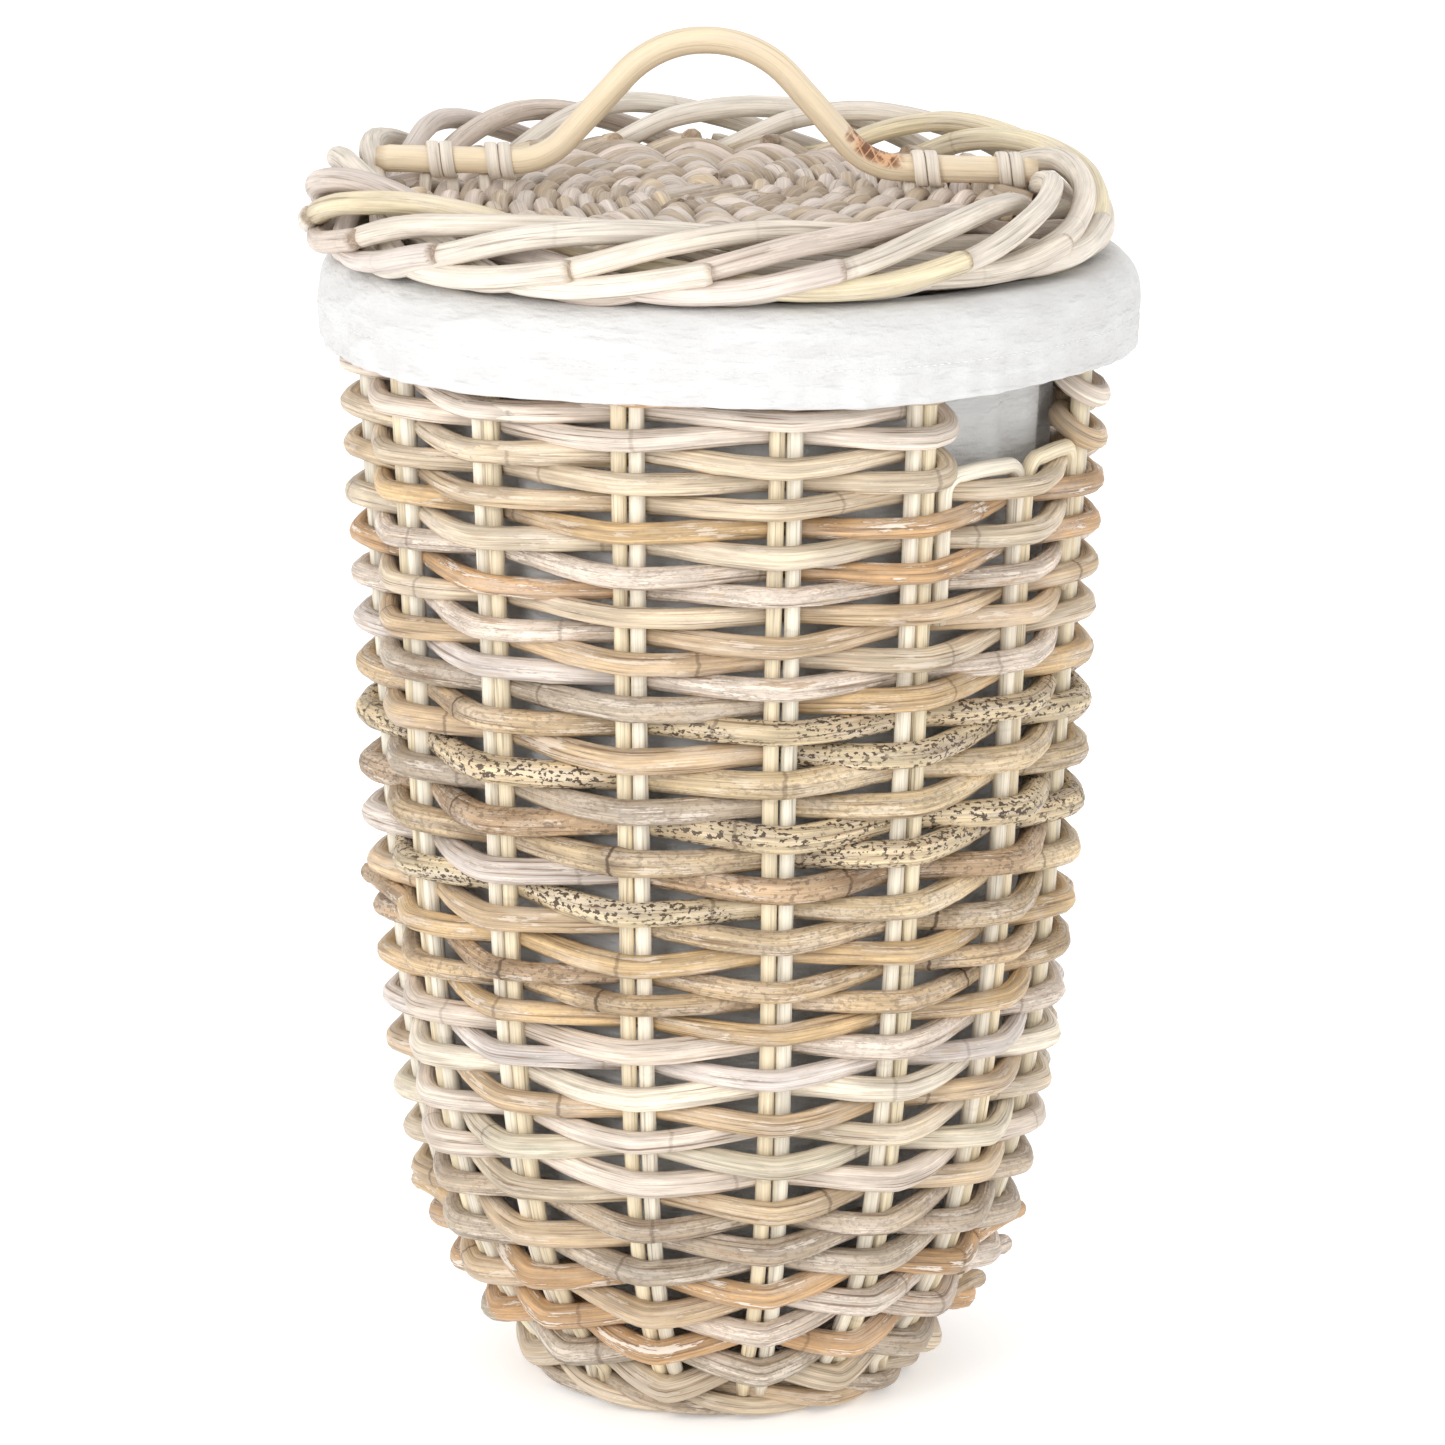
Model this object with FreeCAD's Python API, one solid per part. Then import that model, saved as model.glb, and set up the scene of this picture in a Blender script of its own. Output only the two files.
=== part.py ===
import FreeCAD, Part
import math
import os

from FreeCAD import Vector

os.makedirs("parts", exist_ok=True)

# Woven laundry basket with a cloth liner and a loose lid. Millimetres, +Z up.
# The origin is on the basket's axis, at the plane it stands on. The hand holes face +X and -X.

# Wall: the middle surface of the weave, from the rim down. Each bend is a radius and the angle it turns.
rim_level = 549.0
rim_radius = 176.4
rim_flare = 2.7
straight_drop = 249.0
wall_bends = [(1785.0, 3.8), (551.0, 7.6), (215.0, 27.5)]
half_wall = 14.8

# Canes and rows
stake_count = 16
stake_radius = 3.9
pair_spacing = 8.2
channel_room = 0.45
weave_start = 20.0
band_levels = [20.0, 72.0, 138.0, 205.0, 272.0, 339.0, 406.0, 472.0, 531.0, 548.0]
band_gap = 0.4

# Hand holes
hole_sill = 472.0
hole_half_angle = 17.5
turn_radius = 8.5
tuck_depth = 62.0
tuck_room = 2.0
end_gap = 0.5

# Foot and floor
foot_inner = 80.0
foot_outer = 103.0
foot_height = 10.0
floor_radius = 84.0
floor_low = 10.4
floor_high = 25.6
stick_radius = 3.4
stick_spacing = 9.0
sticks_each_way = 4
stick_gap = 0.4
stick_overrun = 9.0
floor_stick_depth = 3.9

# Rim border and liner
border_half_width = 15.5
border_height = 11.0
border_round = 5.0
cloth = 1.2
cloth_room = 0.8
liner_low = 21.5
cuff_radius = 199.0
cuff_top = 565.0
cuff_hem = 522.0
casing_height = 13.0

# Lid, which sits a little to one side
lid_shift = (-8.6, -6.3)
lid_bottom = 566.0
lid_radius = 195.0
lid_border_width = 40.0
lid_border_height = 39.0
lid_disc_bottom = 573.0
lid_disc_height = 19.0
lid_disc_gap = 0.5
lid_stick_radius = 4.0
lid_stick_spacing = 10.0
lid_sticks_each_way = 6
lid_stick_depth = 4.9

# Handle: one bent cane over the lid
handle_angle = 36.3
handle_radius = 6.5
handle_foot_level = 605.0
handle_rise = 58.5
handle_foot_end = 161.0
handle_bend_start = 93.0
handle_slope = 48.0
handle_low_bend = 34.0
handle_high_bend = 52.0
binding_places = [-129.0, -101.0, 104.0, 144.5]
binding_width = 6.0
binding_thickness = 1.6
binding_wraps = 2
binding_room = 0.3


def wall_pieces():
    """Each piece of the wall's meridian from the rim down: top level, bottom level, centre, radius, tilt."""
    tilt = math.radians(rim_flare)
    r = rim_radius - straight_drop * math.tan(tilt)
    z = rim_level - straight_drop
    pieces = [(rim_level, z, None, 0.0, tilt)]
    for radius, turn in wall_bends:
        centre = (r - radius * math.cos(tilt), z + radius * math.sin(tilt))
        tilt += math.radians(turn)
        top = z
        r = centre[0] + radius * math.cos(tilt)
        z = centre[1] - radius * math.sin(tilt)
        pieces.append((top, z, centre, radius, tilt))
    return pieces


wall_run = wall_pieces()


def wall_at(level):
    """The middle surface's radius and tilt from upright at a height."""
    for top, bottom, centre, radius, tilt in wall_run:
        if level >= bottom or (top, bottom) == wall_run[-1][:2]:
            break
    if centre is None:
        return rim_radius - (rim_level - level) * math.tan(tilt), tilt
    tilt = math.asin((centre[1] - level) / radius)
    return centre[0] + radius * math.cos(tilt), tilt


def wall_point(level, out, side=0.0):
    """A point in the plane of the axis, a distance out from the middle surface, moved sideways."""
    r, tilt = wall_at(level)
    return Vector(r + out * math.cos(tilt), side, level - out * math.sin(tilt))


def wall_edges(low, high, out, side=0.0):
    """Tangent edges along the wall between two heights, a fixed distance out, from the low end up."""
    inner = [piece[1] for piece in wall_run if low + 0.01 < piece[1] < high - 0.01]
    stops = [low] + sorted(inner) + [high]
    edges = []
    for a, b in zip(stops, stops[1:]):
        start = wall_point(a, out, side)
        end = wall_point(b, out, side)
        if a >= wall_run[0][1] - 0.01:
            edges.append(Part.makeLine(start, end))
        else:
            middle = wall_point((a + b) / 2, out, side)
            edges.append(Part.Arc(start, middle, end).toShape())
    return edges


def tube_pieces(edges, radius):
    """The cylinders and ring sectors of a round rod along lines and circle arcs."""
    pieces = []
    for edge in edges:
        start = edge.valueAt(edge.FirstParameter)
        along = edge.tangentAt(edge.FirstParameter)
        face = Part.Face(Part.Wire(Part.makeCircle(radius, start, along)))
        if isinstance(edge.Curve, Part.Line):
            pieces.append(face.extrude(edge.valueAt(edge.LastParameter) - start))
        else:
            centre = edge.Curve.Center
            turn = math.degrees(edge.LastParameter - edge.FirstParameter)
            pieces.append(face.revolve(centre, edge.Curve.Axis, turn))
    return pieces


def tube(edges, radius):
    """A round rod along lines and circle arcs, as one solid."""
    pieces = tube_pieces(edges, radius)
    rod = pieces[0].multiFuse(pieces[1:]) if len(pieces) > 1 else pieces[0]
    return rod.Solids[0]


def turned(shape, degrees):
    """A copy turned about the basket's axis."""
    copy = shape.copy()
    copy.rotate(Vector(0, 0, 0), Vector(0, 0, 1), degrees)
    return copy


def ring(edges):
    """A closed outline in the XZ plane turned into a ring."""
    outline = Part.Wire(Part.__sortEdges__(edges))
    return Part.Face(outline).revolve(Vector(0, 0, 0), Vector(0, 0, 1), 360).Solids[0]


def ring_from(points):
    """A ring whose section is the polygon of (radius, height) points."""
    corners = [Vector(r, 0, z) for r, z in points]
    return ring([Part.makeLine(a, b) for a, b in zip(corners, corners[1:] + corners[:1])])


def rounded_ring(inner, outer, low, high, fillet):
    """A ring with a rounded rectangular section."""
    corners = [Vector(inner, 0, low), Vector(outer, 0, low), Vector(outer, 0, high), Vector(inner, 0, high)]
    edges = []
    for k, corner in enumerate(corners):
        back = (corners[k - 1] - corner).normalize()
        ahead = (corners[(k + 1) % 4] - corner).normalize()
        start = corner + back * fillet
        end = corner + ahead * fillet
        middle = corner + (back + ahead) * fillet * (1 - math.sqrt(0.5))
        following = corners[(k + 1) % 4] - ahead * fillet
        edges.append(Part.Arc(start, middle, end).toShape())
        edges.append(Part.makeLine(end, following))
    return ring(edges)


def band_ring(low, high, out_low, out_high):
    """A ring of wall between two heights, cut square to the wall."""
    outer = wall_edges(low, high, out_high)
    inner = wall_edges(low, high, out_low)
    caps = [Part.makeLine(wall_point(level, out_low), wall_point(level, out_high)) for level in (low, high)]
    return ring(outer + inner + caps)


def stake_pair_edges(low, high):
    """The centrelines of two canes side by side on the +X side of the wall."""
    return [wall_edges(low, high, 0.0, side) for side in (-pair_spacing / 2, pair_spacing / 2)]


def turned_down_edges(way, extra=0.0):
    """One cut cane's centreline at the +X hand hole: up, along the sill, and down beside the next pair."""
    half = math.sqrt(0.5)
    side = way * pair_spacing / 2
    run_level = hole_sill + stake_radius + channel_room + end_gap
    tilt = math.radians(rim_flare)
    up = Vector(math.sin(tilt), 0, math.cos(tilt))
    rise_end = wall_point(run_level, 0.0, side) - up * turn_radius
    across = Vector(0, way * turn_radius, 0)
    bend_middle = rise_end + across * (1 - half) + up * (turn_radius * half)
    run_start = rise_end + across + up * turn_radius
    run_radius = math.hypot(run_start.x, run_start.y)
    first = math.atan2(abs(run_start.y), run_start.x)
    last = 2 * math.pi / stake_count - (pair_spacing * 1.5 + tuck_room + turn_radius) / run_radius

    def on_run(angle):
        return Vector(run_radius * math.cos(angle), way * run_radius * math.sin(angle), run_start.z)

    run_end = on_run(last)
    tangent = Vector(-math.sin(last), way * math.cos(last), 0)
    outward = Vector(math.cos(last), way * math.sin(last), 0)
    down = -(outward * math.sin(tilt) + Vector(0, 0, math.cos(tilt)))
    drop_middle = run_end + tangent * (turn_radius * half) + down * (turn_radius * (1 - half))
    drop_start = run_end + (tangent + down) * turn_radius
    edges = wall_edges(weave_start - extra, rise_end.z, 0.0, side)
    edges.append(Part.Arc(rise_end, bend_middle, run_start).toShape())
    edges.append(Part.Arc(run_start, on_run((first + last) / 2), run_end).toShape())
    edges.append(Part.Arc(run_end, drop_middle, drop_start).toShape())
    edges.append(Part.makeLine(drop_start, drop_start + down * (tuck_depth + extra)))
    return edges


def cane_lines(extra=0.0):
    """The two centrelines of a whole pair and of a cut pair, both on the +X side."""
    whole = stake_pair_edges(weave_start - extra, rim_level - end_gap + 2 * extra)
    cut = [turned_down_edges(way, extra) for way in (-1, 1)]
    return whole, cut


def side_stakes():
    """Every stake pair by name; the pairs at the hand holes are the cut ones."""
    whole, cut = [[tube(edges, stake_radius) for edges in lines] for lines in cane_lines()]
    pairs = {}
    for k in range(stake_count):
        solids = cut if k % (stake_count // 2) == 0 else whole
        pairs["stake_pair_%02d" % (k + 1)] = [turned(s, k * 360.0 / stake_count) for s in solids]
    return pairs


def stake_channels():
    """The room that the stakes need in the weave, as separate short pieces."""
    radius = stake_radius + channel_room
    whole, cut = [sum((tube_pieces(edges, radius) for edges in lines), []) for lines in cane_lines(end_gap)]
    tools = []
    for k in range(stake_count):
        pieces = cut if k % (stake_count // 2) == 0 else whole
        tools += [turned(s, k * 360.0 / stake_count) for s in pieces]
    return tools


def hole_wedge(side):
    """The space of one hand hole: a wedge from the axis out, on the +X or -X side."""
    reach = 2.0 * rim_radius
    half = math.radians(hole_half_angle)
    corners = [Vector(0, 0, 0), Vector(reach * math.cos(half), -reach * math.sin(half), 0),
               Vector(reach * math.cos(half), reach * math.sin(half), 0), Vector(0, 0, 0)]
    wedge = Part.Face(Part.makePolygon(corners)).extrude(Vector(0, 0, rim_level + 100.0))
    return turned(wedge, 0 if side > 0 else 180)


def side_weave():
    """The woven wall in bands of several rows, open at the hand holes."""
    channels = stake_channels()
    bands = {}
    for k, (low, high) in enumerate(zip(band_levels, band_levels[1:])):
        band = band_ring(low + band_gap / 2, high - band_gap / 2, -half_wall, half_wall)
        cutters = [tool for tool in channels if tool.BoundBox.intersect(band.BoundBox)]
        if low == hole_sill:
            cutters += [hole_wedge(1), hole_wedge(-1)]
        band = band.cut(cutters)
        bands["side_weave_band_%d" % (k + 1)] = [s for s in band.Solids if s.Volume > 1000]
    return bands


def foot():
    """The plaited ring that the basket stands on, flat underneath."""
    return rounded_ring(foot_inner, foot_outer, 0.0, foot_height, 3.5)


def cross_sticks(level, length, along_x, spacing, count, radius):
    """One layer of straight parallel sticks."""
    sticks = []
    for k in range(count):
        side = (k - (count - 1) / 2) * spacing
        reach = math.sqrt(length ** 2 - side ** 2)
        start = Vector(-reach, side, level) if along_x else Vector(side, -reach, level)
        way = Vector(1, 0, 0) if along_x else Vector(0, 1, 0)
        sticks.append(Part.makeCylinder(radius, 2 * reach, start, way))
    return sticks


def floor_layers():
    """The floor: crossed sticks in two layers, and the woven disc round them."""
    low = floor_low + floor_stick_depth
    high = low + 2 * stick_radius + stick_gap
    layout = (stick_spacing, sticks_each_way)
    parts = {}
    parts["floor_cross_lower"] = cross_sticks(low, floor_radius - 1, True, *layout, stick_radius)
    parts["floor_cross_upper"] = cross_sticks(high, floor_radius - 1, False, *layout, stick_radius)
    reach = floor_radius + stick_overrun
    room = cross_sticks(low, reach, True, *layout, stick_radius + stick_gap)
    room += cross_sticks(high, reach, False, *layout, stick_radius + stick_gap)
    disc = Part.makeCylinder(floor_radius, floor_high - floor_low, Vector(0, 0, floor_low))
    core = stick_spacing * sticks_each_way / 2 + 1.0
    middle = Part.makeBox(2 * core, 2 * core, 100, Vector(-core, -core, 0))
    parts["floor_weave"] = disc.cut([middle] + room).Solids
    return parts


def rim_border():
    """The turned down border that closes the wall under the liner."""
    centre = rim_radius
    low = rim_level + 0.6
    inner = centre - border_half_width
    return rounded_ring(inner, inner + 2 * border_half_width, low, low + border_height, border_round)


def square_ring(radius, half_thick, low, high):
    """A thin upright ring with square edges."""
    inner = radius - half_thick
    outer = radius + half_thick
    return ring_from([(inner, low), (outer, low), (outer, high), (inner, high)])


def liner():
    """The cloth bag: walls just inside the weave, a flat bottom, and the cuff folded down outside the rim."""
    inside = -(half_wall + cloth_room)
    mouth_level = rim_level - 9.0
    outer = wall_edges(liner_low, mouth_level, inside)
    inner = wall_edges(liner_low, mouth_level, inside - cloth)
    ends = [Part.makeLine(wall_point(level, inside), wall_point(level, inside - cloth))
            for level in (liner_low, mouth_level)]
    bag = ring(outer + inner + ends)
    corner = wall_point(liner_low, inside - cloth)
    base = Part.makeCylinder(corner.x - 0.02, cloth, Vector(0, 0, corner.z - cloth))
    mouth = wall_point(mouth_level, inside)
    mouth_in = wall_point(mouth_level, inside - cloth)
    reach = rim_radius + border_half_width
    cuff = ring_from([
        (mouth.x, mouth.z + 0.02), (mouth.x - 0.6, rim_level + 2), (mouth.x - 0.2, rim_level + 11),
        (mouth.x + 5.0, cuff_top - 2.2), (reach - 4.0, cuff_top - 2.2), (reach + 2.2, cuff_top - 6.6),
        (reach + 3.0, cuff_top - 14.0), (reach + 3.6, cuff_hem + casing_height),
        (cuff_radius - 0.6, cuff_hem + casing_height), (cuff_radius, cuff_top - 15.0),
        (cuff_radius - 3.0, cuff_top - 6.0), (cuff_radius - 8.5, cuff_top), (mouth_in.x + 5.0, cuff_top),
        (mouth_in.x - 0.4, rim_level + 12), (mouth_in.x - 1.0, rim_level + 2), (mouth_in.x, mouth_in.z + 0.02)])
    hem_in = reach + 3.6
    hem_out = cuff_radius - 0.6
    low = cuff_hem
    high = cuff_hem + casing_height - 0.02
    casing = ring_from([(hem_in, low), (hem_out, low), (hem_out, high), (hem_in, high)])
    mid = (hem_in + hem_out) / 2
    pocket = square_ring(mid, 0.8, low + 2.5, high - 2.5)
    band = square_ring(mid, 0.5, low + 3, high - 3)
    return {"liner_bag": [bag], "liner_floor": [base], "liner_cuff": [cuff],
            "liner_hem_casing": [casing.cut(pocket)], "liner_elastic": [band]}


def on_lid(shape):
    """A copy moved to where the lid sits."""
    copy = shape.copy()
    copy.translate(Vector(lid_shift[0], lid_shift[1], 0))
    return copy


def lid_parts():
    """The lid: crossed sticks, the woven disc round them, and the thick plaited border."""
    inner = lid_radius - lid_border_width
    low = lid_disc_bottom + lid_stick_depth
    high = low + 2 * lid_stick_radius + stick_gap
    layout = (lid_stick_spacing, lid_sticks_each_way)
    parts = {}
    parts["lid_cross_lower"] = cross_sticks(low, inner - 1.5, True, *layout, lid_stick_radius)
    parts["lid_cross_upper"] = cross_sticks(high, inner - 1.5, False, *layout, lid_stick_radius)
    reach = inner + stick_overrun
    room = cross_sticks(low, reach, True, *layout, lid_stick_radius + stick_gap)
    room += cross_sticks(high, reach, False, *layout, lid_stick_radius + stick_gap)
    disc = Part.makeCylinder(inner - lid_disc_gap, lid_disc_height, Vector(0, 0, lid_disc_bottom))
    core = lid_stick_spacing * lid_sticks_each_way / 2 + 1.0
    middle = Part.makeBox(2 * core, 2 * core, 100, Vector(-core, -core, lid_disc_bottom - 1))
    parts["lid_weave"] = disc.cut([middle] + room).Solids
    top = lid_bottom + lid_border_height
    section = [(inner, lid_bottom + 4), (inner + 4, lid_bottom), (lid_radius - 8, lid_bottom),
               (lid_radius, lid_bottom + 10), (lid_radius, top - 12), (lid_radius - 6, top - 3),
               (lid_radius - 13, top), (lid_radius - 20, top), (inner + 6, top - 12), (inner, top - 17)]
    parts["lid_border"] = [ring_from(section)]
    return {name: [on_lid(s) for s in solids] for name, solids in parts.items()}


def handle_edges():
    """The bent cane's centreline in the XZ plane: straight feet, S-bends, and a crown."""
    slope = math.radians(handle_slope)
    low_rise = handle_low_bend * (1 - math.cos(slope))
    low_run = handle_low_bend * math.sin(slope)
    high_rise = handle_high_bend * (1 - math.cos(slope))
    high_run = handle_high_bend * math.sin(slope)
    straight_rise = handle_rise - low_rise - high_rise
    straight_run = straight_rise / math.tan(slope)
    edges = []
    z = handle_foot_level
    x0 = handle_bend_start
    x1 = x0 - low_run
    x2 = x1 - straight_run
    x3 = x2 - high_run
    z1 = z + low_rise
    z2 = z1 + straight_rise
    z3 = z2 + high_rise
    half = slope / 2
    low_mid = Vector(x0 - handle_low_bend * math.sin(half), 0, z + handle_low_bend * (1 - math.cos(half)))
    high_mid = Vector(x3 + handle_high_bend * math.sin(half), 0, z3 - handle_high_bend * (1 - math.cos(half)))
    right = [Vector(handle_foot_end, 0, z), Vector(x0, 0, z), Vector(x1, 0, z1),
             Vector(x2, 0, z2), Vector(x3, 0, z3)]
    left = [Vector(-p.x, 0, p.z) for p in right]
    edges.append(Part.makeLine(right[0], right[1]))
    edges.append(Part.Arc(right[1], low_mid, right[2]).toShape())
    edges.append(Part.makeLine(right[2], right[3]))
    edges.append(Part.Arc(right[3], high_mid, right[4]).toShape())
    edges.append(Part.makeLine(right[4], left[4]))
    edges.append(Part.Arc(left[4], Vector(-high_mid.x, 0, high_mid.z), left[3]).toShape())
    edges.append(Part.makeLine(left[3], left[2]))
    edges.append(Part.Arc(left[2], Vector(-low_mid.x, 0, low_mid.z), left[1]).toShape())
    edges.append(Part.makeLine(left[1], left[0]))
    print("handle crown half length", round(x3, 2), "straight slope run", round(straight_run, 2))
    return edges


def binding(place):
    """Two turns of flat cane round one foot of the handle."""
    turns = []
    for k in range(binding_wraps):
        x = place + (k - (binding_wraps - 1) / 2) * (binding_width + 1.5) - binding_width / 2
        centre = Vector(x, 0, handle_foot_level)
        inner = handle_radius + binding_room
        outer = Part.makeCylinder(inner + binding_thickness, binding_width, centre, Vector(1, 0, 0))
        turns.append(outer.cut(Part.makeCylinder(inner, binding_width, centre, Vector(1, 0, 0))).Solids[0])
    return turns


def handle_parts():
    """The handle and its four bindings, turned to where they sit on the lid."""
    parts = {"lid_handle": [tube(handle_edges(), handle_radius)]}
    for k, place in enumerate(binding_places):
        parts["handle_binding_%d" % (k + 1)] = binding(place)
    return {name: [on_lid(turned(s, handle_angle)) for s in solids] for name, solids in parts.items()}


def build():
    """Every node by name, with its solids."""
    nodes = {"foot_border": [foot()]}
    nodes.update(floor_layers())
    nodes.update(side_stakes())
    nodes.update(side_weave())
    nodes["rim_border"] = [rim_border()]
    nodes.update(liner())
    nodes.update(lid_parts())
    nodes.update(handle_parts())
    return nodes


for name, solids in build().items():
    shape = solids[0] if len(solids) == 1 else Part.makeCompound(solids)
    if not shape.isValid():
        print("not valid:", name)
    shape.exportStep("parts/%s.step" % name)
    print(name, len(solids), round(sum(s.Volume for s in solids)))
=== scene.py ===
import math
import random

import bmesh
import bpy
import numpy as np
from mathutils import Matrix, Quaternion, Vector


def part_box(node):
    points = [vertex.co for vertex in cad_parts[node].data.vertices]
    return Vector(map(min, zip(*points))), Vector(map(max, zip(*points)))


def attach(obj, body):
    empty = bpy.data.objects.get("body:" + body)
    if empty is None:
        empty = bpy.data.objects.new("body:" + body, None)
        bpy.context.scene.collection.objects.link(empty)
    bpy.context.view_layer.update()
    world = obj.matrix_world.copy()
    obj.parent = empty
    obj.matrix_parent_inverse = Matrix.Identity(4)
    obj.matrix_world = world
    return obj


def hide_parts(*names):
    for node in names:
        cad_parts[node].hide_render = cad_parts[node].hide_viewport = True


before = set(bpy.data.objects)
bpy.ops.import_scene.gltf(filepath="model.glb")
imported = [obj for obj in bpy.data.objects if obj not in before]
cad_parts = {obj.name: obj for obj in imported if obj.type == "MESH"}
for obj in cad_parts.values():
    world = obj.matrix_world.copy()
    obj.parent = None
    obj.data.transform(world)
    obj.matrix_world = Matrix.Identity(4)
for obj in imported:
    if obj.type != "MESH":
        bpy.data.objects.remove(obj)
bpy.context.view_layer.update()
chance = random.Random(11)
fullTurn = 2 * math.pi
print("frame loaded:", len(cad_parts), "nodes")


# making nodes, in a shader or in geometry nodes

class Wire:    # a socket that can be added and multiplied
    def __init__(self, craft, socket):
        self.craft = craft
        self.socket = socket

    def maths(self, operation, first, second=0.0):
        return self.craft.node("ShaderNodeMath", {"operation": operation}, {0: first, 1: second})

    def __add__(self, other):
        return self.maths("ADD", self, other)

    def __mul__(self, other):
        return self.maths("MULTIPLY", self, other)

    def __sub__(self, other):
        return self.maths("SUBTRACT", self, other)


class Craft:
    def __init__(self, tree):
        self.tree = tree

    def node(self, kind, settings=None, sockets=None, out=0):
        made = self.tree.nodes.new(kind)
        for key, value in (settings or {}).items():
            setattr(made, key, value)
        for key, value in (sockets or {}).items():
            if isinstance(value, Wire):
                self.tree.links.new(value.socket, made.inputs[key])
            else:
                made.inputs[key].default_value = value
        return Wire(self, made.outputs[out]) if made.outputs else None

    def split(self, vector):
        first = self.node("ShaderNodeSeparateXYZ", {}, {0: vector})
        return [Wire(self, socket) for socket in first.socket.node.outputs]

    def vector(self, operation, first, second):
        return self.node("ShaderNodeVectorMath", {"operation": operation}, {0: first, 1: second})

    def noise(self, place, stretch, detail=2.0, rough=0.5):
        scaled = self.vector("MULTIPLY", place, stretch)
        return self.node("ShaderNodeTexNoise", {},
                         {"Vector": scaled, "Scale": 1.0, "Detail": detail, "Roughness": rough})

    def ease(self, value, low, high, bottom=0.0, top=1.0):
        return self.node("ShaderNodeMapRange", {"interpolation_type": "SMOOTHSTEP"},
                         {"Value": value, "From Min": low, "From Max": high, "To Min": bottom, "To Max": top})


class Finish(Craft):    # a material
    def __init__(self, name):
        self.material = bpy.data.materials.new(name)
        self.material.use_nodes = True
        self.material.node_tree.nodes.clear()
        super().__init__(self.material.node_tree)

    def attribute(self, name, out):
        return self.node("ShaderNodeAttribute", {"attribute_name": name}, out=out)

    def mix(self, factor, first, second):
        return self.node("ShaderNodeMix", {"data_type": "RGBA"}, {0: factor, 6: first, 7: second}, 2)

    def scaleColour(self, colour, amount):
        return self.node("ShaderNodeVectorMath", {"operation": "SCALE"}, {0: colour, "Scale": amount})

    def done(self, sockets, bumps=()):
        for height, strength, distance in bumps:
            feed = {"Height": height, "Strength": strength, "Distance": distance}
            if "Normal" in sockets:
                feed["Normal"] = sockets["Normal"]
            sockets = {**sockets, "Normal": self.node("ShaderNodeBump", {}, feed)}
        surface = self.node("ShaderNodeBsdfPrincipled", {}, sockets)
        self.node("ShaderNodeOutputMaterial", {}, {"Surface": surface})
        return self.material


class Pattern(Craft):    # a geometry nodes tree with named inputs
    def __init__(self, name, inputs):
        tree = bpy.data.node_groups.new(name, "GeometryNodeTree")
        super().__init__(tree)
        tree.interface.new_socket("Geometry", in_out="INPUT", socket_type="NodeSocketGeometry")
        tree.interface.new_socket("Geometry", in_out="OUTPUT", socket_type="NodeSocketGeometry")
        for label, kind in inputs.items():
            tree.interface.new_socket(label, in_out="INPUT", socket_type=kind)
        self.start = tree.nodes.new("NodeGroupInput")

    def given(self, label):
        return Wire(self, self.start.outputs[label])

    def done(self, geometry, material):
        real = self.node("GeometryNodeRealizeInstances", {}, {"Geometry": geometry})
        coated = self.node("GeometryNodeSetMaterial", {}, {"Geometry": real, "Material": material})
        self.node("NodeGroupOutput", {}, {"Geometry": coated})
        return self.tree


def newObject(name, points, faces, edges=()):
    mesh = bpy.data.meshes.new(name)
    mesh.from_pydata([tuple(p) for p in points], list(edges), list(faces))
    mesh.update()
    made = bpy.data.objects.new(name, mesh)
    bpy.context.scene.collection.objects.link(made)
    return made


def grown(name, source, tree, values):    # runs a tree on an object and keeps the result as a plain mesh
    modifier = source.modifiers.new("pattern", "NODES")
    modifier.node_group = tree
    for item in tree.interface.items_tree:
        if item.in_out == "INPUT" and item.name in values:
            modifier[item.identifier] = values[item.name]
    graph = bpy.context.evaluated_depsgraph_get()
    result = source.evaluated_get(graph)
    mesh = bpy.data.meshes.new_from_object(result, preserve_all_data_layers=True, depsgraph=graph)
    bpy.data.objects.remove(source)
    mesh.name = name
    made = bpy.data.objects.new(name, mesh)
    bpy.context.scene.collection.objects.link(made)
    return made


def settle(piece, body, slot, *nodes):
    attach(piece, body)
    if nodes:
        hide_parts(*nodes)
    return piece


# camera, floor and light

view = {
    "azimuth": 37.6,     # degrees round from the front
    "distance": 2.79,    # metres out from the basket's axis
    "height": 1.0,
    "pitch": 13.54,      # degrees down
    "roll": 0.31,
    "lens": 145.5,
    "slide": -0.0025,    # sideways shift of the frame
}

lamps = {    # degrees round from the camera, height, distance, size, watts
    "keyLamp": (-34, 1.3, 2.5, 1.1, 27),
    "fillLamp": (44, 0.9, 2.8, 1.6, 10),
    "topLamp": (165, 2.6, 0.9, 1.2, 3),
}

studio = {"skyStrength": 1.0, "floorReach": 30, "floorTone": 0.9, "floorGlow": 0.3, "aimLevel": 0.33}


def setCamera():
    turn = math.radians(view["azimuth"])
    camera = bpy.data.objects.new("camera", bpy.data.cameras.new("camera"))
    aim = Quaternion((0, 0, 1), turn) @ Quaternion((1, 0, 0), math.radians(90 - view["pitch"]))
    camera.rotation_mode = "QUATERNION"
    camera.rotation_quaternion = aim @ Quaternion((0, 0, 1), math.radians(view["roll"]))
    camera.location = (view["distance"] * math.sin(turn), -view["distance"] * math.cos(turn), view["height"])
    camera.data.lens = view["lens"]
    camera.data.sensor_width = 36
    camera.data.shift_x = view["slide"]
    bpy.context.scene.collection.objects.link(camera)
    bpy.context.scene.camera = camera


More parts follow.
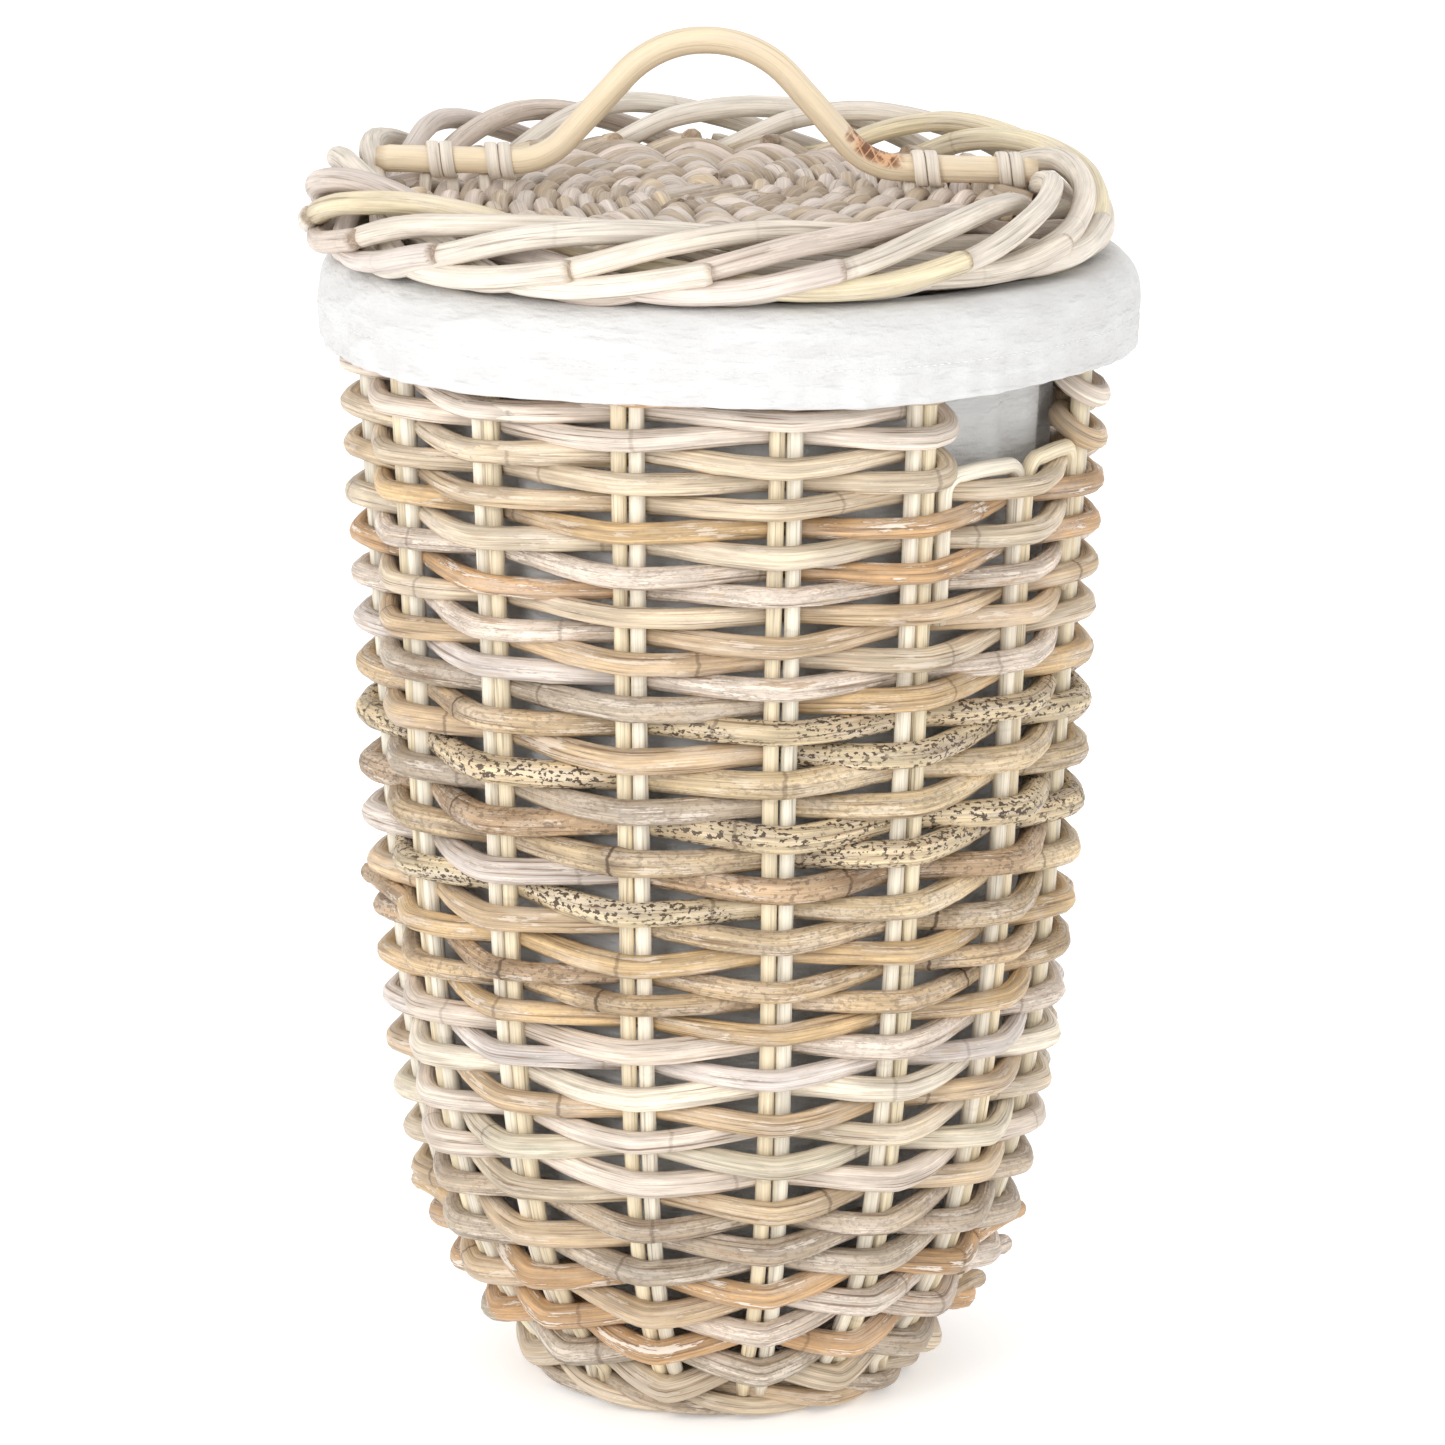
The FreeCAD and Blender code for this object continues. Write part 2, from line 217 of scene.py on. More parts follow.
def setStudio():
    world = bpy.data.worlds.new("studio")
    world.use_nodes = True
    world.node_tree.nodes["Background"].inputs["Color"].default_value = (1, 1, 1, 1)
    world.node_tree.nodes["Background"].inputs["Strength"].default_value = studio["skyStrength"]
    bpy.context.scene.world = world
    bpy.context.scene.view_settings.view_transform = "Standard"
    for name, (offset, height, distance, size, watts) in lamps.items():
        angle = math.radians(view["azimuth"] + offset)
        lamp = bpy.data.lights.new(name, "AREA")
        lamp.size = size
        lamp.energy = watts
        holder = bpy.data.objects.new(name, lamp)
        holder.location = (distance * math.sin(angle), -distance * math.cos(angle), height)
        toBasket = Vector((0, 0, studio["aimLevel"])) - holder.location
        holder.rotation_euler = toBasket.to_track_quat("-Z", "Y").to_euler()
        bpy.context.scene.collection.objects.link(holder)
    reach = studio["floorReach"]
    corners = [(-reach, -reach, 0), (reach, -reach, 0), (reach, reach, 0), (-reach, reach, 0)]
    floor = newObject("studioFloor", corners, [(0, 1, 2, 3)])
    tone = studio["floorTone"]
    paint = {"Base Color": (tone, tone, tone, 1), "Roughness": 0.9,
             "Emission Color": (1, 1, 1, 1), "Emission Strength": studio["floorGlow"]}
    floor.data.materials.append(Finish("floorPaint").done(paint))


# the wall's middle surface, from the rim down

wall = {
    "rimLevel": 0.549,
    "rimRadius": 0.1764,
    "flare": 2.7,            # degrees from upright
    "straightDrop": 0.249,
    "bends": [(1.785, 3.8), (0.551, 7.6), (0.215, 27.5)],    # radius, degrees turned
    "stakes": 16,
    "insideOffset": -0.0162,    # the cloth, in from the middle surface
}


def wallCurve():
    tilt = math.radians(wall["flare"])
    drop = np.linspace(0, wall["straightDrop"], 40)
    levels = list(wall["rimLevel"] - drop)
    radii = list(wall["rimRadius"] - drop * math.tan(tilt))
    tilts = [tilt] * len(levels)
    for radius, turn in wall["bends"]:
        centre = (radii[-1] - radius * math.cos(tilt), levels[-1] + radius * math.sin(tilt))
        for _ in range(60):
            tilt += math.radians(turn) / 60
            radii.append(centre[0] + radius * math.cos(tilt))
            levels.append(centre[1] - radius * math.sin(tilt))
            tilts.append(tilt)
    return [np.array(values)[::-1] for values in (levels, radii, tilts)]


wallLevels, wallRadii, wallTilts = wallCurve()
stakeDrift = {0: 0.6, 3: 1.1, 5: -1.4, 9: 1.2, 11: -1.2, 12: -2.3, 14: 1.3, 15: 0.8}    # degrees off even


def stakeTurn(stake):    # the angle of a stake, or of a place between two
    stake = np.asarray(stake, float)
    drift = np.interp(np.mod(stake, wall["stakes"]), range(wall["stakes"] + 1),
                      [stakeDrift.get(k % wall["stakes"], 0.0) for k in range(wall["stakes"] + 1)])
    return stake * fullTurn / wall["stakes"] + np.radians(drift)


def onWall(turn, level, out=0.0, side=0.0):    # points at an angle round and a level, moved out and sideways
    turn, level = np.broadcast_arrays(np.asarray(turn, float), np.asarray(level, float))
    radius = np.interp(level, wallLevels, wallRadii)
    tilt = np.interp(level, wallLevels, wallTilts)
    reach = radius + out * np.cos(tilt)
    return np.stack([reach * np.cos(turn) - side * np.sin(turn), reach * np.sin(turn) + side * np.cos(turn),
                     level - out * np.sin(tilt)], axis=-1)


# canes: a list of rods with a place, a thickness and a finish each, swept in one go

ringSpacing = 0.19    # metres between the growth rings of a cane


def shown(red, green, blue):    # a display colour as the shader wants it
    return tuple(((c / 255 + 0.055) / 1.055) ** 2.4 for c in (red, green, blue))


finishes = {    # display colour, then how mottled, scuffed and ringed
    "golden": ((203, 173, 130), 0.1, 0.6, 0.5),
    "orange": ((196, 158, 116), 0.05, 1.0, 0.4),
    "tan": ((198, 174, 142), 0.05, 0.5, 0.6),
    "beige": ((208, 190, 164), 0.0, 0.4, 0.4),
    "pink": ((222, 206, 190), 0.0, 0.3, 0.3),
    "lilac": ((208, 197, 189), 0.0, 0.5, 0.3),
    "grey": ((178, 163, 144), 0.25, 0.6, 0.5),
    "brown": ((178, 151, 120), 0.5, 0.6, 0.9),
    "ringed": ((190, 167, 134), 0.35, 0.5, 1.0),
    "straw": ((203, 182, 147), 0.3, 0.4, 0.5),
    "mottled": ((202, 184, 152), 1.0, 0.3, 0.6),
    "pale": ((224, 212, 192), 0.0, 0.35, 0.3),
    "washed": ((212, 197, 182), 0.15, 1.0, 0.4),
    "green": ((208, 198, 176), 0.0, 0.3, 0.4),
    "cream": ((234, 220, 190), 0.0, 0.1, 0.15),
    "white": ((238, 230, 212), 0.0, 0.1, 0.1),
    "honey": ((226, 208, 178), 0.0, 0.1, 0.0),
    "bone": ((222, 212, 198), 0.0, 0.2, 0.1),
    "shell": ((216, 202, 192), 0.0, 0.2, 0.1),
    "wheat": ((218, 206, 176), 0.0, 0.2, 0.2),
    "dove": ((202, 189, 178), 0.0, 0.3, 0.1),
    # disc and dusk: darker tones for the lid's recessed disc, partly the canes' own colour and partly painted
    # shade
    "disc": ((184, 166, 144), 0.0, 0.3, 0.1),
    "dusk": ((168, 150, 130), 0.0, 0.3, 0.1),
}


def makeRod(points, radius, finish, vary=0.05):
    points = np.asarray(points, float)
    gaps = np.linalg.norm(np.diff(points, axis=0), axis=1)
    along = np.concatenate([[0], np.cumsum(gaps)]) + chance.uniform(0, 9)
    colour, mottled, scuffed, ringed = finishes[finish]
    light = 1 + chance.uniform(-vary, vary)
    warmth = chance.uniform(-vary, vary) * 0.5
    tint = np.array(shown(*colour)) * light * np.array([1 + warmth, 1, 1 - warmth])
    fromRing = (np.mod(along / ringSpacing, 1) - 0.5) * ringSpacing
    thick = np.broadcast_to(radius, along.shape) * (1 + 0.05 * ringed * np.exp(-(fromRing / 0.004) ** 2))
    thick = thick * (1 + 0.02 * np.sin(along * 41 + light * 50))
    tint = np.tile(tint, (len(points), 1))
    tint[[0, -1]] *= (0.62, 0.56, 0.5)    # weathered ends
    thick[[0, -1]] *= 0.84
    traits = np.tile((mottled, scuffed, ringed), (len(points), 1))
    return {"points": points, "along": along, "radius": thick, "tint": tint, "traits": traits}


def caneSweep():
    craft = Pattern("caneSweep", {"sides": "NodeSocketInt", "unevenness": "NodeSocketFloat",
                                  "caneFinish": "NodeSocketMaterial"})

    def named(label, kind="FLOAT"):
        return craft.node("GeometryNodeInputNamedAttribute", {"data_type": kind}, {"Name": label})

    line = craft.node("GeometryNodeMeshToCurve", {}, {"Mesh": craft.given("Geometry")})
    circle = craft.node("GeometryNodeCurvePrimitiveCircle", {},
                        {"Resolution": craft.given("sides"), "Radius": 1.0})
    turned = craft.node("GeometryNodeSplineParameter") * fullTurn
    circle = craft.node("GeometryNodeStoreNamedAttribute", {"data_type": "FLOAT", "domain": "POINT"},
                        {"Geometry": circle, "Name": "rodRound", "Value": turned})
    tube = craft.node("GeometryNodeCurveToMesh", {}, {
        "Curve": line, "Profile Curve": circle, "Scale": named("rodRadius"), "Fill Caps": True})
    angle = named("rodRound")
    radius = named("rodRadius")
    place = craft.node("ShaderNodeCombineXYZ", {}, {
        0: named("rodAlong"),
        1: radius * angle.maths("COSINE", angle),
        2: radius * angle.maths("SINE", angle)})
    tube = craft.node("GeometryNodeStoreNamedAttribute", {"data_type": "FLOAT_VECTOR", "domain": "POINT"},
                      {"Geometry": tube, "Name": "rodPlace", "Value": place})
    lumps = craft.noise(named("rodPlace", "FLOAT_VECTOR"), (45.0, 190.0, 190.0)) - 0.5
    push = craft.node("ShaderNodeVectorMath", {"operation": "SCALE"},
                      {0: craft.node("GeometryNodeInputNormal"), "Scale": lumps * craft.given("unevenness")})
    tube = craft.node("GeometryNodeSetPosition", {}, {"Geometry": tube, "Offset": push})
    tube = craft.node("GeometryNodeSetShadeSmooth", {}, {"Geometry": tube, "Shade Smooth": True})
    return craft.done(tube, craft.given("caneFinish"))


sweepTree = caneSweep()


def storeValues(piece, label, values):    # one number or one vector for each point
    values = np.asarray(values, np.float32)
    kind, field = ("FLOAT", "value") if values.ndim == 1 else ("FLOAT_VECTOR", "vector")
    piece.data.attributes.new(label, kind, "POINT").data.foreach_set(field, values.ravel())


def sweepRods(name, rods, material, sides, unevenness):
    edges = []
    start = 0
    for rod in rods:
        count = len(rod["points"])
        edges += [(start + k, start + k + 1) for k in range(count - 1)]
        start += count
    source = newObject(name + "Lines", np.concatenate([rod["points"] for rod in rods]), [], edges)
    labels = {"radius": "rodRadius", "along": "rodAlong", "tint": "rodTint", "traits": "rodTraits"}
    for trait, label in labels.items():
        storeValues(source, label, np.concatenate([rod[trait] for rod in rods]))
    return grown(name, source, sweepTree, {"sides": sides, "unevenness": unevenness, "caneFinish": material})


caneLook = {
    "washColour": (214, 202, 190),
    "scuffColour": (230, 218, 204),
    "flakeColour": (176, 148, 118),
    "mottleColour": (58, 44, 34),
    "ringColour": (78, 58, 42),
    "streakColour": (122, 94, 68),
}


def caneMaterial(name, wash=0.35, roughness=0.46, contrast=1.0, burnt=False):
    craft = Finish(name)
    tint = craft.attribute("rodTint", "Vector")
    place = craft.attribute("rodPlace", "Vector")
    mottled, scuffed, ringed = craft.split(craft.attribute("rodTraits", "Vector"))
    along = craft.split(place)[0]
    tone = {key: (*shown(*value), 1) for key, value in caneLook.items()}
    fibres = craft.noise(place, (26.0, 1300.0, 1300.0), 2.0, 0.6)
    streaks = craft.noise(place, (11.0, 420.0, 420.0), 3.0, 0.6)
    patches = craft.noise(place, (24.0, 130.0, 130.0), 3.0, 0.6)
    fibreTone = craft.ease(fibres, 0.3, 0.7, 1 - 0.2 * contrast, 1 + 0.17 * contrast)
    streakTone = craft.ease(streaks, 0.32, 0.66, 1 - 0.27 * contrast, 1 + 0.15 * contrast)
    blotches = craft.noise(place, (19.0, 85.0, 85.0), 3.0, 0.65)
    blotchTone = craft.ease(blotches, 0.36, 0.64, 1 - 0.17 * contrast, 1 + 0.12 * contrast)
    colour = craft.scaleColour(tint, fibreTone * streakTone * blotchTone)
    colour = craft.mix(craft.ease(patches, 0.46, 0.68, 0.0, wash), colour, tone["washColour"])
    darkLines = craft.ease(streaks * 0.55 + fibres * 0.45, 0.37, 0.435, 0.72 * contrast, 0.0)
    colour = craft.mix(darkLines, colour, tone["streakColour"])
    ragged = craft.noise(place, (34.0, 210.0, 210.0), 4.0, 0.68) + (fibres - 0.5) * 0.3
    scuffs = craft.ease(ragged, 0.57, 0.6) * scuffed
    flakes = craft.ease(ragged, 0.37, 0.41, 1.0, 0.0) * scuffed
    edges = craft.ease(ragged, 0.535, 0.565) * scuffed - scuffs
    colour = craft.mix(flakes * 0.7, colour, tone["flakeColour"])
    colour = craft.mix(edges * 0.4, colour, tone["streakColour"])
    colour = craft.mix(scuffs * 0.85, colour, tone["scuffColour"])
    specks = craft.ease(craft.noise(place, (340.0, 520.0, 520.0), 2.0, 0.6), 0.54, 0.57)
    speckled = specks * craft.ease(patches, 0.32, 0.48) * mottled
    colour = craft.mix(speckled * 0.92, colour, tone["mottleColour"])
    turnsAlong = along * (1 / ringSpacing)
    fromRing = (turnsAlong.maths("FRACT", turnsAlong) - 0.5) * ringSpacing
    fromRing = fromRing.maths("ABSOLUTE", fromRing + (patches - 0.5) * 0.006)
    line = craft.ease(fromRing, 0.0004, 0.0013, 1.0, 0.0) * ringed
    halo = craft.ease(fromRing, 0.001, 0.016, 0.6, 0.0) * ringed
    colour = craft.mix(halo * streaks, colour, tone["ringColour"])
    colour = craft.mix(line * 0.85, colour, tone["ringColour"])
    stains = craft.ease(craft.noise(place, (17.0, 75.0, 75.0), 3.0, 0.65), 0.54, 0.66) * ringed
    colour = craft.mix(stains * 0.45, colour, tone["streakColour"])
    if burnt:
        colour = burntMarks(craft, colour)
    rough = craft.ease(streaks, 0.3, 0.7, roughness - 0.08, roughness + 0.1) + scuffs * 0.12
    height = fibres * 0.5 + scuffs * 0.35 - line - speckled * 0.2 + streaks * 0.5
    look = {"Base Color": colour, "Roughness": rough, "Specular IOR Level": 0.35}
    return craft.done(look, [(height, 0.5, 0.0009)])


# side weave: rows over one pair of stakes and under the next

weave = {
    "rows": 48,
    "anchors": [(1, 0.0262), (11, 0.1405), (21, 0.2525), (31, 0.3765), (43, 0.5020), (47, 0.5430)],
    "lowestRise": 0.0105,    # between the rows below the first anchor, which are row and level
    "stepsPerStake": 16,
    "fill": 0.520,       # a rod's radius over the distance between rows
    "point": 0.65,       # how sharply a row bends over a stake
    "swing": 0.0089,     # how far a row goes out and in at the stakes
    "sag": 0.0006,
    "wander": 0.0012,
    "holeRows": (41, 43, 45),    # the lower row of each pair that turns back at the hand holes
    "rowsPerPiece": 8,
}

rowFinishes = """tan beige grey orange orange+washed tan+washed orange grey tan+grey grey beige+tan pink
green pink+beige tan pale lilac pink+washed golden ringed brown+ringed golden tan+ringed mottled+straw
lilac+brown ringed+mottled brown+mottled grey+straw mottled+straw tan+mottled ringed+mottled grey+golden
lilac+washed tan+beige washed+tan beige+tan orange+washed washed+orange beige golden+orange tan+beige
beige+tan lilac+beige pink golden orange tan beige""".split()


def rowLevel(row):
    if row < 1:
        return weave["anchors"][0][1] - weave["lowestRise"] * (1 - row)
    return float(np.interp(row, *zip(*weave["anchors"])))


def rowRadius(row):
    rise = rowLevel(row + 0.5) - rowLevel(row - 0.5)
    tilt = float(np.interp(rowLevel(row), wallLevels, wallTilts))
    return rise / math.cos(tilt) ** 0.8 * weave["fill"]


def rowPoints(row, first, last, mood):    # a row between two stakes, counted round from +X
    count = int(round((last - first) * weave["stepsPerStake"])) + 1
    stake = np.linspace(first, last, count)
    turn = stakeTurn(stake)
    wave = np.cos(math.pi * (stake + row))
    front = wave * (1 - weave["point"]) + np.arcsin(wave) * 2 / math.pi * weave["point"]
    wander = np.sin(turn * 3 + mood) + 0.6 * np.sin(turn * 7 + mood * 2)
    level = rowLevel(row) - weave["sag"] * front + weave["wander"] * wander
    out = weave["swing"] * front + 0.0004 * np.sin(turn * 11 + mood * 3)
    return onWall(turn, level, out)


def rowRods(row):
    mood = chance.uniform(0, 6)
    radius = rowRadius(row) * chance.uniform(0.91, 1.06)
    names = rowFinishes[row].split("+")
    odd = (row + 1) % 2    # a joint hides behind a stake that the row passes inside
    back = chance.choice([4, 6]) + odd
    rods = []
    if len(names) == 2:
        middle = -3 if (row - 3) % 2 else -2
        spans = [(back - 16, middle, names[0]), (middle, back, names[1])]
    else:
        far = chance.choice([-9, -7]) + (1 - odd)
        spans = [(back - 16, far, chance.choice(["tan", "beige", "grey", "golden"])), (far, back, names[0])]
    for first, last, finish in spans:
        if last > first:
            rods.append(makeRod(rowPoints(row, first + 0.02, last - 0.02, mood), radius, finish))
    return rods


def turnBack(row, stake, way):    # round the last stake beside a hand hole, from this row up to the next
    turn = stakeTurn(stake)
    bend = np.linspace(0, math.pi, 13)[1:-1]
    reach = weave["swing"]
    rise = (1 - np.cos(bend)) / 2
    levels = rowLevel(row) + (rowLevel(row + 1) - rowLevel(row)) * rise
    sides = way * (0.0041 + reach * np.sin(bend))
    radius = np.interp(levels, wallLevels, wallRadii)
    return onWall(turn + sides / radius, levels, reach * np.cos(bend))


def holeRods(row):
    rods = []
    for middle in (-4, 4):
        for way in (-1, 1):
            mood = chance.uniform(0, 6)
            edge = middle + 3 * way
            lower = rowPoints(row, *sorted((middle + 0.02 * way, edge)), mood)
            upper = rowPoints(row + 1, *sorted((middle - way * 0.98, edge)), mood)
            if way < 0:
                lower, upper = lower[::-1], upper[::-1]
            corner = turnBack(row, edge, way)
            path = np.concatenate([lower, corner, upper[::-1]])
            finish = chance.choice(rowFinishes[row].split("+"))
            rods.append(makeRod(path, rowRadius(row) * 0.97, finish))
    return rods


strays = [    # cut ends that stand off the wall: from and to in degrees, level, how far out, finish
    (10, 31, 0.086, 0.0130, "orange"), (11, 32, 0.068, 0.0140, "washed"), (12, 31, 0.050, 0.0115, "tan"),
    (-120, -139, 0.097, 0.0135, "golden"), (-118, -140, 0.252, 0.0135, "brown"),
]


def strayRods():
    rods = []
    for first, last, level, reach, finish in strays:
        t = np.linspace(0, 1, 16)
        turn = np.radians(first + (last - first) * t)
        line = onWall(turn, level + 0.003 * np.sin(t * 2.2), 0.003 + (reach - 0.003) * t ** 1.6)
        rods.append(makeRod(line, 0.0047 * (1 + 0.2 * np.clip(t * 8 - 7, 0, 1)), finish))
    return rods


def makeWeave(material):
    held = set(weave["holeRows"]) | {row + 1 for row in weave["holeRows"]}
    pieces = []
    bands = [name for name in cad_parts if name.startswith("side_weave_band_")]
    for low in range(1, weave["rows"], weave["rowsPerPiece"]):
        rods = []
        for row in range(low, min(low + weave["rowsPerPiece"], weave["rows"])):
            if row in weave["holeRows"]:
                rods += holeRods(row)
            elif row not in held:
                rods += rowRods(row)
        if not pieces:
            rods += strayRods()
        piece = sweepRods("sideWeave%d" % (len(pieces) + 1), rods, material, 12, 0.0018)
        settle(piece, "basket", "weave_cane")
        pieces.append(piece)
    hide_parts(*bands)
    print("side weave:", len(pieces), "pieces")


# stakes: pairs of peeled canes, cut and turned down at the hand holes

stakes = {
    "radius": 0.0039,
    "spacing": 0.0082,
    "foot": 0.014,
    "top": 0.5475,
    "sill": 0.4795,       # the cut canes' level along a hand hole's sill
    "bend": 0.0085,
    "tuckRoom": 0.002,
    "tuckDepth": 0.062,
}


def stakeLine(turn, side, top):
    levels = np.linspace(stakes["foot"], top, 70)
    drift = 0.0005 * np.sin(levels * 17 + turn * 5 + side * 900)
    return onWall(turn, levels, 0.0003 * np.sin(levels * 23 + turn * 9), side + drift)


def cutLine(stake, turn, way):
    bend = stakes["bend"]
    sill = stakes["sill"]
    side = way * stakes["spacing"] / 2
    reach = float(np.interp(sill, wallLevels, wallRadii))
    rise = stakeLine(turn, side, sill - bend)
    first = (abs(side) + bend) / reach
    beforeNext = stakes["spacing"] * 1.5 + stakes["tuckRoom"] + bend
    last = abs(turn - float(stakeTurn(stake + way))) - beforeNext / reach
    quarter = np.linspace(0, math.pi / 2, 7)
    low = sill - bend
    up = onWall(turn + (side + way * bend * (1 - np.cos(quarter))) / reach, low + bend * np.sin(quarter))
    sway = 0.0006 * np.sin(np.linspace(0, 3, 10))
    run = onWall(turn + way * np.linspace(first, last, 12)[1:-1], sill + sway)
    down = onWall(turn + way * (last + bend * np.sin(quarter) / reach), low + bend * np.cos(quarter))
    tucked = np.linspace(low, low - stakes["tuckDepth"], 14)[1:]
    drop = onWall(turn + way * (last + bend / reach), tucked)
    return np.concatenate([rise, up[1:], run, down, drop])


def makeStakes(material):
    rods = []
    for k in range(wall["stakes"]):
        turn = float(stakeTurn(k))
        for way in (-1, 1):
            radius = stakes["radius"] * chance.uniform(0.96, 1.04)
            finish = "white" if (way > 0) == (k % 3 > 0) else "cream"
            if k % (wall["stakes"] // 2) == 0:
                line = cutLine(k, turn, way)
            else:
                line = stakeLine(turn, way * stakes["spacing"] / 2, stakes["top"])
            rods.append(makeRod(line, radius, finish, vary=0.03))
    piece = sweepRods("sideStakes", rods, material, 12, 0.0005)
    pairs = [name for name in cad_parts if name.startswith("stake_pair_")]
    settle(piece, "basket", "stake_cane", *pairs)
    print("stakes:", len(rods), "canes")


# plaited borders: each rod starts inside, climbs over its neighbours and dives under again

lidCentre = (-0.0086, -0.0063)

footBorder = {
    "name": "footBorder", "body": "basket", "slot": "foot_cane", "node": "foot_border",
    "rods": 16, "radius": 0.0044, "centre": (0.0, 0.0), "ring": 0.0865, "level": 0.0097,
    "section": [(-0.011, -0.001), (-0.0045, 0.0048), (0.005, 0.0050), (0.0105, -0.0012), (0.0020, -0.0045)],
    "finishes": ["beige", "tan", "grey", "tan"], "jitter": 0.0006, "lean": 0.0, "pace": 1.0,
}
rimBorder = {
    "name": "rimBorder", "body": "basket", "slot": "weave_cane", "node": "rim_border",
    "rods": 18, "radius": 0.0046, "centre": (0.0, 0.0), "ring": 0.1764, "level": 0.5552,
    "section": [(-0.0108, -0.0006), (0.0, 0.0008), (0.0108, -0.0006)],
    "finishes": ["tan", "beige", "golden", "grey"], "jitter": 0.0003, "lean": 0.0, "pace": 1.0,
}
lidBorder = {
    "name": "lidBorder", "body": "lid", "slot": "lid_cane", "node": "lid_border",
    "rods": 18, "radius": 0.0054, "centre": lidCentre, "ring": 0.1735, "level": 0.5842,
    "section": [(-0.0040, -0.0120), (0.0070, -0.0135), (0.0150, -0.0030), (0.0110, 0.0085),
                (-0.0015, 0.0130), (-0.0130, 0.0085), (-0.0150, -0.0020), (-0.0040, -0.0050),
                (0.0100, -0.0110), (0.0165, -0.0105), (0.0190, -0.0030)],    # out and up, along a rod
    "finishes": ["bone", "shell", "wheat", "dove", "bone"], "jitter": 0.0016,
    "lean": 0.0138,      # how much taller the upper rods stand at the back
    "pace": 0.74,        # how far a rod travels round, over the distance between rods
}


leanTurn = math.radians(90 + view["azimuth"])    # the side where the lid stands a little higher


def plait(border):
    section = np.array(border["section"])
    places = np.arange(len(section))
    fine = np.linspace(0, len(section) - 1, 14 * (len(section) - 1) + 1)
    smooth = [spline(places, section[:, axis], fine) for axis in (0, 1)]
    step = fullTurn / border["rods"]
    rods = []
    for k in range(border["rods"]):
        sway = [chance.uniform(-1, 1) * border["jitter"] for _ in range(2)]
        reach = border["ring"] + smooth[0] + sway[0] * np.sin(fine * 1.7 + k)
        level = border["level"] + smooth[1] + sway[1] * np.sin(fine * 2.1 + k * 2)
        turn = (k + chance.uniform(-0.12, 0.12)) * step + fine * step * border["pace"]
        lift = border["lean"] * (0.5 + 0.5 * np.cos(turn - leanTurn))
        level = level + lift * np.clip(smooth[1] / 0.0265 + 0.51, 0, 1)    # the lowest rods stay down
        x = border["centre"][0] + reach * np.cos(turn)
        y = border["centre"][1] + reach * np.sin(turn)
        radius = border["radius"] * chance.uniform(0.92, 1.06)
        rods.append(makeRod(np.stack([x, y, level], axis=-1), radius, chance.choice(border["finishes"])))
    return rods


def spline(places, values, fine):    # a smooth line through a few values
    slopes = np.gradient(values, places)
    index = np.clip(np.searchsorted(places, fine, side="right") - 1, 0, len(places) - 2)
    t = fine - places[index]
    a, b = values[index], values[index + 1]
    return ((2 * t ** 3 - 3 * t ** 2 + 1) * a + (t ** 3 - 2 * t ** 2 + t) * slopes[index]
            + (3 * t ** 2 - 2 * t ** 3) * b + (t ** 3 - t ** 2) * slopes[index + 1])


def makeBorder(border, material, sides=12):
    piece = sweepRods(border["name"], plait(border), material, sides, 0.0009)
    settle(piece, border["body"], border["slot"], border["node"])
    print(border["name"], "done")


# twined discs: the lid's middle and the floor

lidDisc = {
    "name": "lidDisc", "body": "lid", "slot": "lid_cane",
    "nodes": ["lid_weave", "lid_cross_lower", "lid_cross_upper"],
    "centre": lidCentre, "level": 0.5830, "lean": 0.004,
    # the darker disc and dusk tones here are partly painted shade from the border around the disc
    "spokes": 22, "spokeRadius": 0.0042, "spokeFinish": "disc", "hub": 0.012, "rim": 0.156, "stubs": 0.0052,
    "sticks": 6, "stickSpacing": 0.0098, "stickRadius": 0.0042, "stickReach": 0.034,
    "firstRow": 0.030, "lastRow": 0.152, "pitch": 0.0118, "strand": 0.0046, "height": 0.0072, "slant": 0.0034,
    "finishes": ["disc", "dove", "beige", "shell", "disc", "dusk"],
}
floorDisc = {
    "name": "floorDisc", "body": "basket", "slot": "floor_cane",
    "nodes": ["floor_weave", "floor_cross_lower", "floor_cross_upper"],
    "centre": (0.0, 0.0), "level": 0.0175, "lean": 0.0,
    "spokes": 16, "spokeRadius": 0.0030, "spokeFinish": "tan", "hub": 0.010, "rim": 0.083, "stubs": 0.0,
    "sticks": 4, "stickSpacing": 0.009, "stickRadius": 0.0034, "stickReach": 0.026,
    "firstRow": 0.024, "lastRow": 0.080, "pitch": 0.0080, "strand": 0.0030, "height": 0.0048, "slant": 0.002,
    "finishes": ["beige", "tan", "grey"],
}


def discPoint(disc, turn, reach, level):
    leaned = disc["lean"] * np.cos(turn - leanTurn) * reach / disc["rim"]
    return np.stack([disc["centre"][0] + reach * np.cos(turn), disc["centre"][1] + reach * np.sin(turn),
                     disc["level"] + level + leaned], axis=-1)


def spokeRods(disc):
    rods = []
    for k in range(disc["spokes"]):
        turn = k * fullTurn / disc["spokes"]
        start = disc["hub"] if k % 2 == 0 else disc["firstRow"] + 0.012
        reach = np.linspace(start, disc["rim"], 24)
        turned = np.full(24, turn + chance.uniform(-0.01, 0.01))
        line = discPoint(disc, turned, reach, 0.0006 * np.sin(reach * 90 + k))
        rods.append(makeRod(line, disc["spokeRadius"], disc["spokeFinish"]))
        if disc["stubs"]:
            reach = np.linspace(disc["rim"] - chance.uniform(0.014, 0.026), disc["rim"], 6)
            line = discPoint(disc, np.full(6, turn), reach, np.linspace(0.0105, 0.006, 6))
            radius = disc["stubs"] * chance.uniform(0.9, 1.1)
            rods.append(makeRod(line, radius, chance.choice(disc["finishes"])))
    return rods


